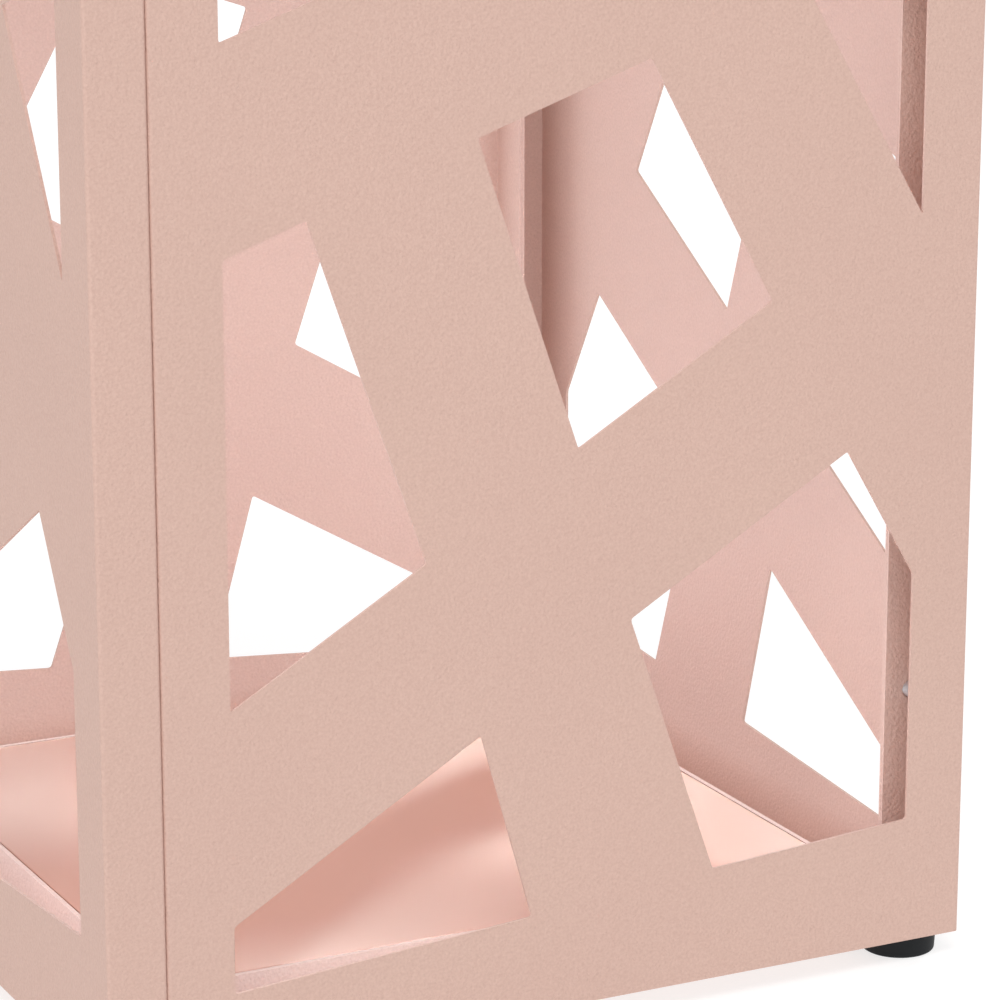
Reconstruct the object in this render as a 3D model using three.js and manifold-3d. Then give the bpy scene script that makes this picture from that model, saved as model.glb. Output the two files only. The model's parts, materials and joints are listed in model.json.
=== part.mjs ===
// Square umbrella stand: four folded sheet-steel panels screwed together at their corner flanges,
// a base pan on their bottom flanges, a lift-out floor plate in the pan, and four rubber feet.
// Millimetres, +Z up. The origin is on the floor, under the middle of the stand, and the front faces -Y.
import * as THREE from 'three';
import { mergeVertices } from 'three/addons/utils/BufferGeometryUtils.js';
import Module from 'manifold-3d';

const wasm = await Module();
wasm.setup();

// Overall size
const width = 155;
const height = 490;
const half = width / 2;
const footHeight = 4;

// Folded panels
const sheet = 0.5;
const bendRadius = 0.6;
const flange = 10;
const seamGap = 0.1;
const seam = flange - seamGap;
const strip = seam - seamGap;
const cornerNotch = 1;
const bottomFlange = 24;
const topFlange = 8;
const topLip = 5.5;
const notchStart = 0.8;
const cutEase = 0.6;
const mitreGap = 0.1;
const overlap = sheet / 2;

// Base pan and floor plate
const panInset = 13.7;
const panTop = 13.8;
const panWall = 0.9;
const panCorner = 1.5;
const plateGap = 0.25;
const plateSheet = 0.8;
const plateCorner = 0.6;
const restGap = 0.1;
const panBottom = footHeight + sheet + restGap;

// Feet and screws
const footRadius = 6.5;
const footInset = 7.4;
const footEdge = 0.6;
const screwRadius = 1.45;
const screwHole = 1.6;
const screwHeadRadius = 2.75;
const screwHeadHeight = 1.9;
const screwHeadDome = [[0, 1], [0.62, 0.92], [0.9, 0.66], [1, 0.3], [1, 0]];
const seamScrewInset = 5;
const seamScrewLength = 6;
const panScrewInset = 19;
const panScrewLength = 4;
const footScrewLength = 7;
const socketRadius = 3.2;
const socketDepth = 2.3;

// How far a cutter reaches past what it cuts, and the number of flat sides on round shapes
const cutReach = 1;
const screwSides = 12;
const footSides = 24;
const bendSides = 4;
const easeSides = 3;

// The lowest and highest seam screws are as far from the bottom edge as from the top edge.
const seamScrewEnd = 41.5;
const seamScrewHeights = {
  low: footHeight + seamScrewEnd,
  middle: (footHeight + height) / 2,
  high: height - seamScrewEnd,
};

// Window corners in a panel, as [distance from its left corner, height above the floor].
// Bands about 30 mm wide cross between the windows, and each panel has the same set.
const near = 21.1;
const far = 143.9;
const windows = [
  [[near, 16.5], [73, 20.5], [63.9, 52.5], [near, 27.6]],
  [[106.4, 23.2], [far, 25.9], [far, 69], [130.7, 91.3], [90.6, 68.1]],
  [[near, 62.4], [54.5, 81.8], [34.8, 137.6], [near, 132.6]],
  [[81, 97.2], [116, 117.6], [93.5, 158.1], [63.4, 147.8]],
  [[far, 129.3], [far, 175.8], [121.1, 167.8]],
  [[near, 164.9], [78.3, 185], [47.5, 239.3], [near, 226]],
  [[105.3, 194.5], [143.6, 208], [117.4, 274.6], [71.6, 251.5]],
  [[near, 259.6], [40.3, 269.3], [near, 300]],
  [[67.2, 282.9], [106.1, 302.5], [84.1, 356.9], [30.9, 340.9]],
  [[133, 316.1], [far, 321.6], [far, 374.8], [113, 365.6]],
  [[near, 369.3], [72.8, 384.8], [55.6, 427.4], [near, 405]],
  [[near, 440.8], [44.2, 455.8], [37.9, 471.4], [near, 470.6]],
  [[101.7, 393.5], [far, 406.1], [far, 477], [131, 476.4], [81.3, 444.1]],
];

const blush = new THREE.Color(0xe0baad);
const finishes = {
  coat: { color: blush, roughness: 0.55, metalness: 0 },
  plate: { color: blush, roughness: 0.3, metalness: 0 },
  rubber: { color: new THREE.Color(0x1d2022), roughness: 0.7, metalness: 0 },
  zinc: { color: new THREE.Color(0xc9ccce), roughness: 0.3, metalness: 1 },
};

// Turns a closed three.js geometry into a solid for cutting and joining.
function solidOf(geometry) {
  const bare = geometry.clone();
  bare.deleteAttribute('normal');
  bare.deleteAttribute('uv');
  const merged = mergeVertices(bare, 1e-5);
  const vertProperties = new Float32Array(merged.attributes.position.array);
  const triVerts = new Uint32Array(merged.index.array);
  return new wasm.Manifold(new wasm.Mesh({ numProp: 3, vertProperties, triVerts }));
}

function geometryOf(solid) {
  const mesh = solid.getMesh();
  const geometry = new THREE.BufferGeometry();
  geometry.setAttribute('position', new THREE.BufferAttribute(mesh.vertProperties, 3));
  geometry.setIndex(new THREE.BufferAttribute(mesh.triVerts, 1));
  const flat = geometry.toNonIndexed();
  flat.computeVertexNormals();
  return flat;
}

function cutAll(body, tools) {
  return tools.reduce((left, tool) => left.subtract(tool), body);
}

// A straight prism of a shape in the XY plane, between two heights.
function prism(shape, bottom, top) {
  const depth = top - bottom;
  const settings = { depth, bevelEnabled: false, curveSegments: bendSides };
  const geometry = new THREE.ExtrudeGeometry(shape, settings);
  return solidOf(geometry.translate(0, 0, bottom));
}

// A closed outline with its corners eased by a small curve.
function easedOutline(corners, ease) {
  const points = corners.map(([x, y]) => new THREE.Vector2(x, y));
  const shape = new THREE.Shape();
  points.forEach((corner, i) => {
    const before = points.at(i - 1).clone().sub(corner).setLength(ease).add(corner);
    const after = points[(i + 1) % points.length].clone().sub(corner).setLength(ease).add(corner);
    if (i === 0) shape.moveTo(before.x, before.y);
    else shape.lineTo(before.x, before.y);
    shape.quadraticCurveTo(corner.x, corner.y, after.x, after.y);
  });
  shape.closePath();
  return shape;
}

// The plan section of a sheet folded by right angles, each to the left of the last leg.
// The corners lie on its outer face, and the sheet's thickness is to their left.
function foldedSection(corners) {
  const points = corners.map(([x, y]) => new THREE.Vector2(x, y));
  const legs = points.slice(1).map((point, i) => point.clone().sub(points[i]).normalize());
  const leftOf = (leg) => new THREE.Vector2(-leg.y, leg.x);
  const bends = legs.slice(1).map((leg, i) => ({
    centre: points[i + 1].clone().addScaledVector(legs[i], -bendRadius).addScaledVector(leg, bendRadius),
    start: leg.clone().negate().angle(),
    end: leg.clone().negate().angle() + Math.PI / 2,
  }));
  const firstInner = points[0].clone().addScaledVector(leftOf(legs[0]), sheet);
  const shape = new THREE.Shape();
  shape.moveTo(firstInner.x, firstInner.y);
  shape.lineTo(points[0].x, points[0].y);
  bends.forEach(({ centre, start, end }) => {
    shape.absarc(centre.x, centre.y, bendRadius, start, end, false);
  });
  const lastPoint = points.at(-1);
  const lastInner = lastPoint.clone().addScaledVector(leftOf(legs.at(-1)), sheet);
  shape.lineTo(lastPoint.x, lastPoint.y);
  shape.lineTo(lastInner.x, lastInner.y);
  bends.toReversed().forEach(({ centre, start, end }) => {
    shape.absarc(centre.x, centre.y, bendRadius - sheet, end, start, true);
  });
  shape.closePath();
  return shape;
}

function outline(corners) {
  return new THREE.Shape(corners.map(([x, y]) => new THREE.Vector2(x, y)));
}

function rectangle(left, front, right, back) {
  return outline([[left, front], [right, front], [right, back], [left, back]]);
}

function squarePlan(halfSide, ease) {
  const corners = [[-1, -1], [1, -1], [1, 1], [-1, 1]];
  return easedOutline(corners.map(([x, y]) => [x * halfSide, y * halfSide]), ease);
}

// A round cutter for a screw hole through a thin sheet, with its middle at a point.
function drill(axis, x, y, z) {
  const geometry = new THREE.CylinderGeometry(screwHole, screwHole, 2 * cutReach, screwSides);
  if (axis === 'x') geometry.rotateZ(Math.PI / 2);
  if (axis === 'z') geometry.rotateX(Math.PI / 2);
  return solidOf(geometry.translate(x, y, z));
}

// The folded wall of a panel, its corner flanges cut short of the bottom and top flanges.
function foldedWall() {
  const section = foldedSection([
    [seam, flange],
    [seam, 0],
    [width, 0],
    [width, strip],
    [width - flange, strip],
  ]);
  const leftFlange = rectangle(seam - cutReach, notchStart, seam + cutReach, flange + cutReach);
  const rightFlange = rectangle(
    width - flange - cutReach,
    strip - cutReach,
    width - notchStart,
    strip + cutReach,
  );
  const wall = prism(section, footHeight, height);
  return cutAll(wall, [
    prism(leftFlange, footHeight - cutReach, footHeight + cornerNotch),
    prism(rightFlange, footHeight - cutReach, footHeight + cornerNotch),
    prism(leftFlange, height - cornerNotch, height + cutReach),
    prism(rightFlange, height - cornerNotch, height + cutReach),
  ]);
}

// The flange that the pan rests on, mitred to meet the next panel's flange.
function bottomFlangeSolid() {
  const plan = outline([
    [seam, overlap],
    [width - overlap, overlap],
    [width - overlap, strip],
    [width - seam, strip],
    [width - bottomFlange - mitreGap, bottomFlange],
    [bottomFlange + mitreGap, bottomFlange],
    [seam, strip],
  ]);
  return prism(plan, footHeight, footHeight + sheet);
}

// The safe top edge: the sheet turned inwards, then down in a short lip.
function topEdge() {
  const ledge = outline([
    [seam, overlap],
    [width - overlap, overlap],
    [width - overlap, strip],
    [width - topFlange, strip],
    [width - topFlange, topFlange],
    [seam, topFlange],
  ]);
  const lip = rectangle(seam, topFlange - sheet, width - topFlange, topFlange);
  return prism(ledge, height - sheet, height).add(prism(lip, height - topLip, height - overlap));
}

function windowCutter(corners) {
  const shape = easedOutline(corners, cutEase);
  const settings = { depth: 2 * cutReach, bevelEnabled: false, curveSegments: easeSides };
  const geometry = new THREE.ExtrudeGeometry(shape, settings);
  return solidOf(geometry.rotateX(Math.PI / 2).translate(0, cutReach, 0));
}

// One panel as it stands at the front, measured from the stand's front left corner.
// Its right end wraps round the corner and turns inwards, and its left end turns inwards at the seam.
function panelGeometry() {
  const seamHoles = Object.values(seamScrewHeights).flatMap((z) => [
    drill('y', width - seamScrewInset, strip - sheet / 2, z),
    drill('x', seam + sheet / 2, seamScrewInset, z),
  ]);
  const bottomHoles = [
    drill('z', half, panScrewInset, footHeight),
    drill('z', width - footInset, footInset, footHeight),
  ];
  const blank = foldedWall().add(bottomFlangeSolid()).add(topEdge());
  const panel = cutAll(blank, [...windows.map(windowCutter), ...seamHoles, ...bottomHoles]);
  return geometryOf(panel).translate(-half, -half, 0);
}

// The base pan: a shallow square tray with a thick rim, one screw hole beside each panel.
function panGeometry() {
  const outer = half - panInset;
  const floorTop = panBottom + panWall;
  const hollow = prism(squarePlan(outer - panWall, panCorner - panWall), floorTop, panTop + cutReach);
  const holeAt = half - panScrewInset;
  return geometryOf(cutAll(prism(squarePlan(outer, panCorner), panBottom, panTop), [
    hollow,
    drill('z', 0, -holeAt, panBottom),
    drill('z', holeAt, 0, panBottom),
    drill('z', 0, holeAt, panBottom),
    drill('z', -holeAt, 0, panBottom),
  ]));
}

// The floor plate: a flat sheet with turned-down edges, standing in the pan with its top level with the rim.
function plateGeometry() {
  const outer = half - panInset - panWall - plateGap;
  const bottom = panBottom + panWall + restGap;
  const plate = prism(squarePlan(outer, plateCorner), bottom, panTop);
  const inner = rectangle(plateSheet - outer, plateSheet - outer, outer - plateSheet, outer - plateSheet);
  return geometryOf(plate.subtract(prism(inner, bottom - cutReach, panTop - plateSheet)));
}

// A rubber foot with a socket for its screw's head, standing on the XY plane.
function footGeometry() {
  const top = footHeight - restGap;
  const profile = [
    [screwHole, socketDepth],
    [socketRadius, socketDepth],
    [socketRadius, 0],
    [footRadius - footEdge, 0],
    [footRadius, footEdge],
    [footRadius, top],
    [screwHole, top],
    [screwHole, socketDepth],
  ];
  const points = profile.map(([x, y]) => new THREE.Vector2(x, y));
  return new THREE.LatheGeometry(points, footSides).rotateX(Math.PI / 2);
}

// A pan-head screw with its shank along +Z and the underside of its head on the XY plane.
function screwGeometry(length) {
  const head = screwHeadDome.map(([across, along]) => [screwHeadRadius * across, -screwHeadHeight * along]);
  const profile = [
    ...head,
    [screwRadius, 0],
    [screwRadius, length - screwRadius / 2],
    [screwRadius / 2, length],
    [0, length],
  ];
  const points = profile.map(([x, y]) => new THREE.Vector2(x, y));
  return new THREE.LatheGeometry(points, screwSides).rotateX(Math.PI / 2);
}

function piece(name, geometry, finish, position = [0, 0, 0]) {
  const mesh = new THREE.Mesh(geometry, new THREE.MeshStandardMaterial(finishes[finish]));
  mesh.name = name;
  mesh.position.set(...position);
  return mesh;
}

const stand = new THREE.Group();
stand.add(piece('base_pan', panGeometry(), 'coat'));
stand.add(piece('floor_plate', plateGeometry(), 'plate'));

// Each side of the stand is the front's pieces turned by a quarter turn, with the corner at its right end.
const sides = [
  ['front', 'front_right'],
  ['right', 'back_right'],
  ['back', 'back_left'],
  ['left', 'front_left'],
];
sides.forEach(([side, corner], turn) => {
  const group = new THREE.Group();
  group.rotation.z = (turn * Math.PI) / 2;
  group.add(piece(`${side}_panel`, panelGeometry(), 'coat'));

  const footPlace = [half - footInset, footInset - half, 0];
  group.add(piece(`${corner}_foot`, footGeometry(), 'rubber', footPlace));
  const footScrewZ = socketDepth - restGap;
  const footScrewPlace = [footPlace[0], footPlace[1], footScrewZ];
  group.add(piece(`${corner}_foot_screw`, screwGeometry(footScrewLength), 'zinc', footScrewPlace));

  const panScrewPlace = [0, panScrewInset - half, footHeight - restGap];
  group.add(piece(`${side}_pan_screw`, screwGeometry(panScrewLength), 'zinc', panScrewPlace));

  // The seam screws' heads are inside the stand, and their tips point out through both flanges.
  Object.entries(seamScrewHeights).forEach(([level, z]) => {
    const headFace = seam + sheet + restGap - half;
    const place = [half - seamScrewInset, headFace, z];
    const screw = piece(`${corner}_seam_screw_${level}`, screwGeometry(seamScrewLength), 'zinc', place);
    screw.rotation.x = Math.PI / 2;
    group.add(screw);
  });
  stand.add(group);
});

export default stand;
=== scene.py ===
import json
import math
import bmesh
import bpy
from mathutils import Matrix, Vector

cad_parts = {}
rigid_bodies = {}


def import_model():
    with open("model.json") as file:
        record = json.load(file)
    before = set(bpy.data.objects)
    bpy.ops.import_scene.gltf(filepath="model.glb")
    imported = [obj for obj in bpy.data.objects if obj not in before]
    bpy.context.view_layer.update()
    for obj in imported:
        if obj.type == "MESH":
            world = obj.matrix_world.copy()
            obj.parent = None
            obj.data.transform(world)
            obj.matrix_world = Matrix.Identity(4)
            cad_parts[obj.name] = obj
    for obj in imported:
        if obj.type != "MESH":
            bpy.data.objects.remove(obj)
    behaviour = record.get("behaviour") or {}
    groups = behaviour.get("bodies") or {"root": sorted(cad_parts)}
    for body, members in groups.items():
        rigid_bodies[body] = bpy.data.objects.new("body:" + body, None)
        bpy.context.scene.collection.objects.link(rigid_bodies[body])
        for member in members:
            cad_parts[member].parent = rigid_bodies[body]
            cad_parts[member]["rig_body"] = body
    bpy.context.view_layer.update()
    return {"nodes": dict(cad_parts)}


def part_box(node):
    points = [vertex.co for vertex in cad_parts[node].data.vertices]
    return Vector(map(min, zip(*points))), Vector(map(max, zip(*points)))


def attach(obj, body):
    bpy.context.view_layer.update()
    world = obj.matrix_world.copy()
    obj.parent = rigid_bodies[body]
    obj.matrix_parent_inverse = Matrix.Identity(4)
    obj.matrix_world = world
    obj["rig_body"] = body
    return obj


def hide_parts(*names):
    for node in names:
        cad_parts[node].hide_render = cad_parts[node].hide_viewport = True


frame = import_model()
mm = 0.001  # the object's sizes are in millimetres, and Blender's unit is a metre
print("frame loaded:", len(frame["nodes"]), "nodes")


def toLinear(hexColour):
    # an sRGB hex colour, as a linear colour with full alpha
    channels = [int(hexColour[i:i + 2], 16) / 255 for i in (1, 3, 5)]
    linear = [c / 12.92 if c <= 0.04045 else ((c + 0.055) / 1.055) ** 2.4 for c in channels]
    return (*linear, 1.0)


def addNode(tree, kind, inputs=None, **settings):
    # a node with its settings, and each input either linked or given a value
    node = tree.nodes.new(kind)
    for name, value in settings.items():
        setattr(node, name, value)
    for name, value in (inputs or {}).items():
        if isinstance(value, bpy.types.NodeSocket):
            tree.links.new(value, node.inputs[name])
        else:
            node.inputs[name].default_value = value
    return node


def startMaterial(name, viewColour):
    material = bpy.data.materials.new(name)
    material.use_nodes = True
    material.diffuse_color = toLinear(viewColour)
    material.node_tree.nodes.clear()
    return material, material.node_tree


def finishMaterial(tree, shader):
    addNode(tree, "ShaderNodeOutputMaterial", {"Surface": shader.outputs["BSDF"]})


def noiseAt(tree, place, featureSize, detail):
    # featureSize is the width of one bump or blotch in millimetres
    return addNode(tree, "ShaderNodeTexNoise", {
        "Vector": place,
        "Scale": 1 / (featureSize * mm),
        "Detail": detail,
    })


powderCoat = {
    "colour": "#DBB9AB",
    "deepColour": "#D4B2A5",
    "mottleAndShadeColour": "#CAA699",
    "roughness": 0.58,
    "ior": 1.42,
    "grainWidth": 0.6,  # the orange peel of the sprayed powder, drawn at its real size
    "grainHeight": 0.19,  # well over the real height, so that it shows in such even light
    # the specks are partly the coat's own mottling and partly painted shade standing in for the shading of
    # the peel grain
    "mottleAndShadeWidth": 0.45,
    "mottleAndShadeRange": (0.3, 0.9),  # the part of the noise that turns into specks
    "mottleAndShadeAmount": 0.8,
    "blotchWidth": 45,
}


def powderCoatMaterial():
    # polyester powder, sprayed and baked: an even satin skin with a fine orange-peel grain,
    # with fine darker specks at random that are partly the coat's own mottling and partly painted shade of
    # the grain
    material, tree = startMaterial("powderCoatBlush", powderCoat["colour"])
    place = addNode(tree, "ShaderNodeTexCoord").outputs["Object"]
    blotch = noiseAt(tree, place, powderCoat["blotchWidth"], 2)
    broad = addNode(tree, "ShaderNodeMix", {
        "Factor": blotch.outputs["Fac"],
        "A": toLinear(powderCoat["colour"]),
        "B": toLinear(powderCoat["deepColour"]),
    }, data_type="RGBA")
    # fine darker specks at random, from their own noise: partly the coat's mottling, partly painted shade of
    # the peel grain
    mottleAndShadeNoise = noiseAt(tree, place, powderCoat["mottleAndShadeWidth"], 1)
    mottleAndShadeMask = addNode(tree, "ShaderNodeMapRange", {
        "Value": mottleAndShadeNoise.outputs["Fac"],
        "From Min": powderCoat["mottleAndShadeRange"][0],
        "From Max": powderCoat["mottleAndShadeRange"][1],
        "To Max": powderCoat["mottleAndShadeAmount"],
    })
    # mixes in the specks, which carry painted shade of the peel grain as well as mottling
    colour = addNode(tree, "ShaderNodeMix", {
        "Factor": mottleAndShadeMask.outputs["Result"],
        "A": broad.outputs["Result"],
        "B": toLinear(powderCoat["mottleAndShadeColour"]),
    }, data_type="RGBA")
    peel = noiseAt(tree, place, powderCoat["grainWidth"], 1)
    peelBump = addNode(tree, "ShaderNodeBump", {
        "Height": peel.outputs["Fac"],
        "Strength": 1.0,
        "Distance": powderCoat["grainHeight"] * mm,
    })
    shader = addNode(tree, "ShaderNodeBsdfPrincipled", {
        "Base Color": colour.outputs["Result"],
        "Roughness": powderCoat["roughness"],
        "IOR": powderCoat["ior"],
        "Normal": peelBump.outputs["Normal"],
    })
    finishMaterial(tree, shader)
    return material


plateCoat = {
    "colour": "#E6B6A5",
    "deepColour": "#E3B1A0",
    "roughness": 0.3,
    "ior": 1.5,
    "waveWidth": 9,  # the long, low waves of a coat that has flowed out flat
    "waveHeight": 0.012,
    "blotchWidth": 60,
}


def plateCoatMaterial():
    # a smooth polyester coat in the same colour, which flowed out flat and mirrors the lamps softly
    material, tree = startMaterial("smoothCoatBlush", plateCoat["colour"])
    place = addNode(tree, "ShaderNodeTexCoord").outputs["Object"]
    blotch = noiseAt(tree, place, plateCoat["blotchWidth"], 2)
    colour = addNode(tree, "ShaderNodeMix", {
        "Factor": blotch.outputs["Fac"],
        "A": toLinear(plateCoat["colour"]),
        "B": toLinear(plateCoat["deepColour"]),
    }, data_type="RGBA")
    waves = noiseAt(tree, place, plateCoat["waveWidth"], 1)
    waveBump = addNode(tree, "ShaderNodeBump", {
        "Height": waves.outputs["Fac"],
        "Strength": 1.0,
        "Distance": plateCoat["waveHeight"] * mm,
    })
    shader = addNode(tree, "ShaderNodeBsdfPrincipled", {
        "Base Color": colour.outputs["Result"],
        "Roughness": plateCoat["roughness"],
        "IOR": plateCoat["ior"],
        "Normal": waveBump.outputs["Normal"],
    })
    finishMaterial(tree, shader)
    return material


footRubber = {
    "colour": "#101215",
    "dustColour": "#171A1D",
    "roughness": 0.6,
    "ior": 1.33,  # low for rubber, since the floor would shine too much in its side
    "grainWidth": 0.5,
    "grainHeight": 0.01,
}


def footRubberMaterial():
    # moulded nitrile rubber: near black, matt, with the faint texture of its mould
    material, tree = startMaterial("footRubberBlack", footRubber["colour"])
    place = addNode(tree, "ShaderNodeTexCoord").outputs["Object"]
    grain = noiseAt(tree, place, footRubber["grainWidth"], 3)
    colour = addNode(tree, "ShaderNodeMix", {
        "Factor": grain.outputs["Fac"],
        "A": toLinear(footRubber["colour"]),
        "B": toLinear(footRubber["dustColour"]),
    }, data_type="RGBA")
    bump = addNode(tree, "ShaderNodeBump", {
        "Height": grain.outputs["Fac"],
        "Strength": 1.0,
        "Distance": footRubber["grainHeight"] * mm,
    })
    shader = addNode(tree, "ShaderNodeBsdfPrincipled", {
        "Base Color": colour.outputs["Result"],
        "Roughness": footRubber["roughness"],
        "IOR": footRubber["ior"],
        "Normal": bump.outputs["Normal"],
    })
    finishMaterial(tree, shader)
    return material


screwZinc = {
    "colour": "#ECEEEF",
    "blueColour": "#DFE5EA",
    "roughness": (0.28, 0.44),
    "cloudWidth": 1.2,
}


def screwZincMaterial():
    # bright zinc plate over steel, with the faint blue clouding of its passivation
    material, tree = startMaterial("screwZincBright", screwZinc["colour"])
    place = addNode(tree, "ShaderNodeTexCoord").outputs["Object"]
    cloud = noiseAt(tree, place, screwZinc["cloudWidth"], 3)
    colour = addNode(tree, "ShaderNodeMix", {
        "Factor": cloud.outputs["Fac"],
        "A": toLinear(screwZinc["colour"]),
        "B": toLinear(screwZinc["blueColour"]),
    }, data_type="RGBA")
    dull = addNode(tree, "ShaderNodeMapRange", {
        "Value": cloud.outputs["Fac"],
        "To Min": screwZinc["roughness"][0],
        "To Max": screwZinc["roughness"][1],
    })
    shader = addNode(tree, "ShaderNodeBsdfPrincipled", {
        "Base Color": colour.outputs["Result"],
        "Metallic": 1.0,
        "Roughness": dull.outputs["Result"],
    })
    finishMaterial(tree, shader)
    return material


materials = {
    "powder_coat": powderCoatMaterial(),
    "plate_coat": plateCoatMaterial(),
    "foot_rubber": footRubberMaterial(),
    "screw_zinc": screwZincMaterial(),
}
print("materials made:", ", ".join(sorted(materials)))


def addPiece(bm, name, slotName, body, smoothAngle=35):
    # writes the mesh, shades it and lets the piece ride on its body
    mesh = bpy.data.meshes.new(name)
    bm.to_mesh(mesh)
    bm.free()
    mesh.shade_smooth()
    mesh.set_sharp_from_angle(angle=math.radians(smoothAngle))
    mesh.materials.append(materials[slotName])
    piece = bpy.data.objects.new(name, mesh)
    bpy.context.scene.collection.objects.link(piece)
    weighted = piece.modifiers.new("flatFacesFlat", "WEIGHTED_NORMAL")
    weighted.keep_sharp = True
    weighted.weight = 100
    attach(piece, body)
    return piece


def replaceNode(bm, name, slotName, nodeName, smoothAngle=35):
    # the same for a piece that stands for a node of the frame
    piece = addPiece(bm, name, slotName, frame["nodes"][nodeName]["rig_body"], smoothAngle)
    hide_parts(nodeName)
    return piece


def sharpEdges(bm, angle):
    return [e for e in bm.edges if len(e.link_faces) == 2 and e.calc_face_angle() > math.radians(angle)]


def roundEdges(bm, edges, radius, segments):
    # radius is in millimetres
    bmesh.ops.bevel(
        bm,
        geom=edges,
        offset=radius * mm,
        offset_type="OFFSET",
        segments=segments,
        profile=0.5,
        affect="EDGES",
        material=-1,
        clamp_overlap=True,
    )


sheetPart = {
    "mergeDistance": 0.002,
    "flatAngle": 1,  # faces closer to level than this, in degrees, are one flat face
    "cutAngle": 50,  # edges sharper than this are cut edges, and the bends are left alone
}


def softenedSheet(nodeName, edgeRadius, segments):
    # a sheet part's own shape with its triangles merged and its cut edges rounded by the coat
    bm = bmesh.new()
    bm.from_mesh(frame["nodes"][nodeName].data)
    bmesh.ops.remove_doubles(bm, verts=bm.verts, dist=sheetPart["mergeDistance"] * mm)
    flat = math.radians(sheetPart["flatAngle"])
    bmesh.ops.dissolve_limit(bm, angle_limit=flat, verts=bm.verts, edges=bm.edges)
    roundEdges(bm, sharpEdges(bm, sheetPart["cutAngle"]), edgeRadius, segments)
    return bm


panelSheet = {"edgeRadius": 0.05, "segments": 2}


def makePanel(side):
    bm = softenedSheet(f"{side}_panel", **panelSheet)
    replaceNode(bm, f"{side}_panel_sheet", "powder_coat", f"{side}_panel")


sides = ("front", "right", "back", "left")
for side in sides:
    makePanel(side)
print("panels made")


seamBead = {
    # the coat that has run into a seam, measured from the outer faces of its corner
    "gapStart": 9.805,
    "gapEnd": 9.895,
    "outerDepth": 0.55,
    "innerDepth": 9.97,
    "endInset": 1.2,
    "edgeRadius": 0.03,
    "segments": 2,
}


def makeSeamBead(corner, quarterTurns):
    low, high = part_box("left_panel")  # it wraps round the front left corner
    start = Vector((seamBead["gapStart"], seamBead["outerDepth"], seamBead["endInset"])) * mm
    end = Vector((seamBead["gapEnd"], seamBead["innerDepth"], -seamBead["endInset"])) * mm
    start += Vector((low.x, low.y, low.z))
    end += Vector((low.x, low.y, high.z))
    bm = bmesh.new()
    bmesh.ops.create_cube(bm, size=1)
    bmesh.ops.scale(bm, vec=end - start, verts=bm.verts)
    bmesh.ops.translate(bm, vec=(start + end) / 2, verts=bm.verts)
    uprights = [e for e in bm.edges if e.calc_length() > 2 * (end - start).y]
    roundEdges(bm, uprights, seamBead["edgeRadius"], seamBead["segments"])
    turn = Matrix.Rotation(quarterTurns * math.pi / 2, 3, "Z")
    bmesh.ops.rotate(bm, cent=(0, 0, 0), matrix=turn, verts=bm.verts)
    addPiece(bm, f"{corner}_seam_bead", "powder_coat", "stand")


for quarterTurns, corner in enumerate(("front_left", "front_right", "back_right", "back_left")):
    makeSeamBead(corner, quarterTurns)
print("seam beads made")


basePan = {"edgeRadius": 0.3, "segments": 3}
floorPlate = {"edgeRadius": 0.35, "segments": 3}

panShape = softenedSheet("base_pan", **basePan)
replaceNode(panShape, "base_pan_shell", "powder_coat", "base_pan")
plateShape = softenedSheet("floor_plate", **floorPlate)
floorPlateSheet = replaceNode(plateShape, "floor_plate_sheet", "plate_coat", "floor_plate")
print("base made")


def lathe(bm, profile, steps, closed):
    # turns a profile of (radius, height) in millimetres round the Z axis
    verts = [bm.verts.new((r * mm, 0, z * mm)) for r, z in profile]
    following = verts[1:] + verts[:1] if closed else verts[1:]
    edges = [bm.edges.new(pair) for pair in zip(verts, following)]
    bmesh.ops.spin(
        bm,
        geom=verts + edges,
        cent=(0, 0, 0),
        axis=(0, 0, 1),
        angle=math.tau,
        steps=steps,
        use_merge=True,
    )
    bmesh.ops.remove_doubles(bm, verts=bm.verts, dist=0.001 * mm)


rubberFoot = {
    "draft": 0.25,
    "holeRadius": 1.6,
    "socketRadius": 3.2,
    "socketDepth": 2.3,
    "edgeRadius": 0.45,
    "edgeAngle": 60,
    "segments": 4,
    "treadRings": (4.1, 5.0),
    "treadDepth": 0.25,
    "treadWidth": 0.35,
    "steps": 72,
}


def makeFoot(corner):
    low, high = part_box(f"{corner}_foot")
    radius = (high.x - low.x) / 2 / mm
    top = (high.z - low.z) / mm
    groove = rubberFoot["treadWidth"] / 2
    treads = []
    for ring in rubberFoot["treadRings"]:
        treads += [(ring - groove, 0), (ring, rubberFoot["treadDepth"]), (ring + groove, 0)]
    profile = [
        (rubberFoot["holeRadius"], rubberFoot["socketDepth"]),
        (rubberFoot["socketRadius"], rubberFoot["socketDepth"]),
        (rubberFoot["socketRadius"], 0),
        *treads,
        (radius - rubberFoot["draft"], 0),
        (radius, top),
        (rubberFoot["holeRadius"], top),
    ]
    bm = bmesh.new()
    lathe(bm, profile, rubberFoot["steps"], closed=True)
    bmesh.ops.recalc_face_normals(bm, faces=bm.faces)
    outerReach = (radius - 2 * rubberFoot["draft"]) * mm
    sharp = sharpEdges(bm, rubberFoot["edgeAngle"])
    outer = [e for e in sharp if max(v.co.xy.length for v in e.verts) > outerReach]
    roundEdges(bm, outer, rubberFoot["edgeRadius"], rubberFoot["segments"])
    middle = (low + high) / 2
    bmesh.ops.translate(bm, verts=bm.verts, vec=(middle.x, middle.y, low.z))
    replaceNode(bm, f"{corner}_foot_rubber", "foot_rubber", f"{corner}_foot")


corners = ("front_right", "back_right", "back_left", "front_left")
for corner in corners:
    makeFoot(corner)
print("feet made")


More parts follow.
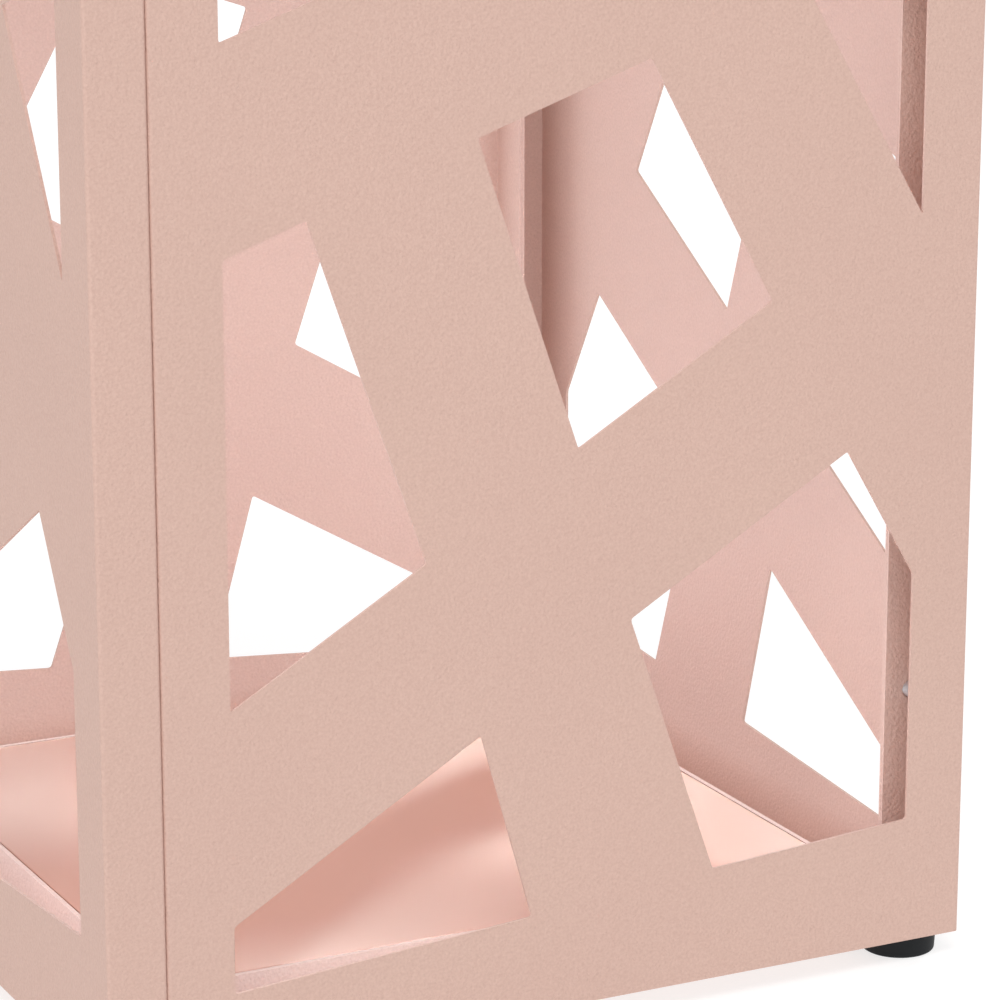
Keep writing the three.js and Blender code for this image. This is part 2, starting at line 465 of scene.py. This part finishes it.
machineScrew = {
    "headRadius": 2.75,
    "headHeight": 1.9,
    "dome": ((1.75, 0), (2.1, 0.06), (2.42, 0.28), (2.62, 0.62), (2.75, 1.1)),  # radius, depth
    "underEdge": ((0, 0.2), (0.12, 0.05), (0.3, 0)),  # inset from the head, height
    "recessReach": 1.35,
    "recessHalfWidth": 0.35,
    "recessDepth": 1.1,
    "recessTaper": 0.65,
    "coreRadius": 1.2,
    "tip": ((0, 0.7), (0.45, 0.05)),  # inset from the core, distance from the end
    "threadRadius": 1.45,
    "threadStart": 0.25,
    "plainLength": 1.1,  # of the shank, at both ends together
    "pitch": 0.5,
    "ridgeHalfWidth": 0.2,
    "crestHalfWidth": 0.04,
    "rootDepth": 0.05,  # how far the ridge is sunk into the core
    "steps": 24,
    "threadSteps": 18,
    "smoothAngle": 40,
}


def crossRadius(angle):
    # how far a cross recess reaches in that direction, in millimetres
    reach, halfWidth = machineScrew["recessReach"], machineScrew["recessHalfWidth"]
    along, across = abs(math.cos(angle)), abs(math.sin(angle))
    tiny = 1e-6
    armX = min(reach / max(along, tiny), halfWidth / max(across, tiny))
    armY = min(reach / max(across, tiny), halfWidth / max(along, tiny))
    return max(armX, armY)


def addRecess(bm, top):
    # the open rim on top of the head goes in to a cross, and the cross goes down to its floor
    s = machineScrew
    rim = [e for e in bm.edges if e.is_boundary]
    for depth, scale in ((0, 1), (s["recessDepth"], s["recessTaper"])):
        made = bmesh.ops.extrude_edge_only(bm, edges=rim)["geom"]
        for vert in [g for g in made if isinstance(g, bmesh.types.BMVert)]:
            angle = math.atan2(vert.co.y, vert.co.x)
            radius = crossRadius(angle) * scale * mm
            vert.co = (radius * math.cos(angle), radius * math.sin(angle), (top + depth) * mm)
        rim = [g for g in made if isinstance(g, bmesh.types.BMEdge) and g.is_boundary]
    bmesh.ops.contextual_create(bm, geom=rim)


def addThread(bm, length):
    # the thread is one ridge wound round the core
    s = machineScrew
    turns = (length - s["plainLength"]) / s["pitch"]
    root, crest = s["coreRadius"] - s["rootDepth"], s["threadRadius"]
    section = [
        (root, s["threadStart"] - s["ridgeHalfWidth"]),
        (crest, s["threadStart"] - s["crestHalfWidth"]),
        (crest, s["threadStart"] + s["crestHalfWidth"]),
        (root, s["threadStart"] + s["ridgeHalfWidth"]),
    ]
    ridge = bm.faces.new([bm.verts.new((r * mm, 0, z * mm)) for r, z in section])
    bmesh.ops.spin(
        bm,
        geom=[ridge, *ridge.edges, *ridge.verts],
        cent=(0, 0, 0),
        axis=(0, 0, 1),
        dvec=(0, 0, s["pitch"] * mm / s["threadSteps"]),
        angle=math.tau * turns,
        steps=round(turns * s["threadSteps"]),
    )


def screwMesh(length):
    # the shank is along +Z, and the underside of the head is on the XY plane
    s = machineScrew
    head, core, top = s["headRadius"], s["coreRadius"], -s["headHeight"]
    profile = [
        *((radius, top + depth) for radius, depth in s["dome"]),
        *((head - inset, -height) for inset, height in s["underEdge"]),
        (core, 0),
        *((core - inset, length - distance) for inset, distance in s["tip"]),
        (0, length),
    ]
    bm = bmesh.new()
    lathe(bm, profile, s["steps"], closed=False)
    addRecess(bm, top)
    addThread(bm, length)
    bmesh.ops.recalc_face_normals(bm, faces=bm.faces)
    return bm


def makeScrew(nodeName, direction):
    # direction is the way the shank points
    low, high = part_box(nodeName)
    way = Vector(direction)
    size, middle = high - low, (low + high) / 2
    whole = abs(size.dot(way))
    length = whole / mm - machineScrew["headHeight"]
    start = middle + way * (machineScrew["headHeight"] * mm - whole / 2)
    turn = way.to_track_quat("Z", "Y").to_matrix().to_4x4()
    bm = screwMesh(length)
    bmesh.ops.transform(bm, matrix=Matrix.Translation(start) @ turn, verts=bm.verts)
    replaceNode(bm, f"{nodeName}_threaded", "screw_zinc", nodeName, machineScrew["smoothAngle"])


outward = {
    "front_right": (0, -1, 0),
    "back_right": (1, 0, 0),
    "back_left": (0, 1, 0),
    "front_left": (-1, 0, 0),
}
for corner in corners:
    makeScrew(f"{corner}_foot_screw", (0, 0, 1))
    for level in ("low", "middle", "high"):
        makeScrew(f"{corner}_seam_screw_{level}", outward[corner])
for side in sides:
    makeScrew(f"{side}_pan_screw", (0, 0, 1))
print("screws made")


studio = {
    "floorRadius": 5.0,  # metres, like the lamps' places and sizes
    "floorSegments": 96,
    "floorColour": "#A0A0A0",
    "floorRoughness": 0.9,
    "floorGlow": 0.7,  # lifts the floor to an even white and takes most of the shadow away
    "skyColour": "#FFFFFF",
    "zenithStrength": 0.62,
    "horizonStrength": 0.52,
}

softLights = {
    # name: (heading, height angle, width, power), with headings clockwise from straight behind
    "keyLight": (228, 14, 0.5, 5),
    "sideLight": (78, 28, 0.45, 16),
    "topLight": (212, 62, 1.1, 19),
}
lightDistance = 2.2
lightAim = (0, 0, 0.1)

plateLights = {
    # the key and side directions again, for the floor plate alone, where little light arrives
    "plateKeyLight": (228, 14, 0.4, 1.47),
    "plateSideLight": (78, 28, 0.35, 1.21),
}
plateLightColour = "#BCEAFA"
plateLightSpread = 18  # degrees, a grid on the lamps: their beams stay on the plate where it rests

insideFill = {
    # these three are in millimetres, the first from the outer faces of the panels
    "inset": 1.5,
    "halfWidth": 60,
    "tiers": ((6, 70, 0.03), (70, 200, 0.038), (200, 485, 0.026)),  # from, to and power
    "colour": "#D2EEFF",  # a cool fill, since the pink walls warm it again
}
plateFill = {"height": 0.25, "width": 0.13, "power": 0.08}


def addSoftLight(name, place, towards, width, height, power, colour):
    light = bpy.data.lights.new(name, "AREA")
    light.energy = power
    light.color = toLinear(colour)[:3]
    light.shape = "RECTANGLE"
    light.size = width
    light.size_y = height
    lamp = bpy.data.objects.new(name, light)
    bpy.context.scene.collection.objects.link(lamp)
    lamp.location = place
    lamp.rotation_euler = (Vector(towards) - Vector(place)).to_track_quat("-Z", "Y").to_euler()
    return lamp


def makeFloor():
    bm = bmesh.new()
    bmesh.ops.create_circle(bm, cap_ends=True, radius=studio["floorRadius"], segments=studio["floorSegments"])
    mesh = bpy.data.meshes.new("studioFloor")
    bm.to_mesh(mesh)
    bm.free()
    floor = bpy.data.objects.new("studioFloor", mesh)
    bpy.context.scene.collection.objects.link(floor)
    material, tree = startMaterial("studioFloorPaint", studio["floorColour"])
    shader = addNode(tree, "ShaderNodeBsdfPrincipled", {
        "Base Color": toLinear(studio["floorColour"]),
        "Roughness": studio["floorRoughness"],
        "Emission Color": toLinear(studio["skyColour"]),
        "Emission Strength": studio["floorGlow"],
    })
    finishMaterial(tree, shader)
    mesh.materials.append(material)


def makeSky():
    # an even overcast, brighter overhead than at the horizon
    world = bpy.data.worlds.new("studioSky")
    bpy.context.scene.world = world
    world.use_nodes = True
    tree = world.node_tree
    tree.nodes.clear()
    direction = addNode(tree, "ShaderNodeTexCoord").outputs["Generated"]
    height = addNode(tree, "ShaderNodeSeparateXYZ", {"Vector": direction}).outputs["Z"]
    strength = addNode(tree, "ShaderNodeMapRange", {
        "Value": height,
        "To Min": studio["horizonStrength"],
        "To Max": studio["zenithStrength"],
    })
    sky = addNode(tree, "ShaderNodeBackground", {
        "Color": toLinear(studio["skyColour"]),
        "Strength": strength.outputs["Result"],
    })
    addNode(tree, "ShaderNodeOutputWorld", {"Surface": sky.outputs["Background"]})


def lampPlace(heading, heightAngle):
    level = math.cos(math.radians(heightAngle))
    return lightDistance * Vector((
        level * math.sin(math.radians(heading)),
        level * math.cos(math.radians(heading)),
        math.sin(math.radians(heightAngle)),
    ))


def makeSoftLights():
    for name, (heading, heightAngle, width, power) in softLights.items():
        place = lampPlace(heading, heightAngle)
        addSoftLight(name, place, lightAim, width, width, power, studio["skyColour"])


def makePlateLights(receivers):
    for name, (heading, heightAngle, width, power) in plateLights.items():
        place = lampPlace(heading, heightAngle)
        lamp = addSoftLight(name, place, (0, 0, 0), width, width, power, plateLightColour)
        lamp.data.spread = math.radians(plateLightSpread)
        lamp.light_linking.receiver_collection = receivers


def makeInsideFill():
    # tiers of lamps just inside each panel, hidden from the camera, that leave the floor plate out
    wallsOnly = bpy.data.collections.new("wallsOnly")
    wallsOnly.objects.link(floorPlateSheet)
    wallsOnly.collection_objects[0].light_linking.link_state = "EXCLUDE"
    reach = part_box("front_panel")[1].x - insideFill["inset"] * mm
    width = 2 * insideFill["halfWidth"] * mm
    for quarterTurns in range(4):
        turn = Matrix.Rotation(quarterTurns * math.pi / 2, 3, "Z")
        for bottom, top, power in insideFill["tiers"]:
            name = f"insideFill{quarterTurns}From{bottom}"
            middle = (bottom + top) / 2 * mm
            place = turn @ Vector((0, -reach, middle))
            height = (top - bottom) * mm
            lamp = addSoftLight(name, place, (0, 0, middle), width, height, power, insideFill["colour"])
            lamp.visible_camera = False
            lamp.light_linking.receiver_collection = wallsOnly


def makePlateFill(receivers):
    place, width = (0, 0, plateFill["height"]), plateFill["width"]
    lamp = addSoftLight("plateFill", place, (0, 0, 0), width, width, plateFill["power"], insideFill["colour"])
    lamp.visible_camera = False
    lamp.light_linking.receiver_collection = receivers


studioCamera = {
    "at": (-0.27696, -0.6058, 0.24574),
    "heading": 26.78,  # degrees to the right of straight at the front
    "tilt": 14.69,  # degrees down
    "lens": 141.25,
    "sensor": 36,
    "clip": (0.01, 50),
}


def makeCamera():
    data = bpy.data.cameras.new("studioCamera")
    data.lens = studioCamera["lens"]
    data.sensor_width = studioCamera["sensor"]
    data.clip_start, data.clip_end = studioCamera["clip"]
    camera = bpy.data.objects.new("studioCamera", data)
    bpy.context.scene.collection.objects.link(camera)
    camera.location = studioCamera["at"]
    camera.rotation_euler = (
        math.radians(90 - studioCamera["tilt"]),
        0,
        math.radians(-studioCamera["heading"]),
    )
    bpy.context.scene.camera = camera
    bpy.context.scene.view_settings.view_transform = "Standard"


makeFloor()
makeSky()
plateOnly = bpy.data.collections.new("plateOnly")
plateOnly.objects.link(floorPlateSheet)
makeSoftLights()
makePlateLights(plateOnly)
makeInsideFill()
makePlateFill(plateOnly)
makeCamera()
print("studio and camera made")
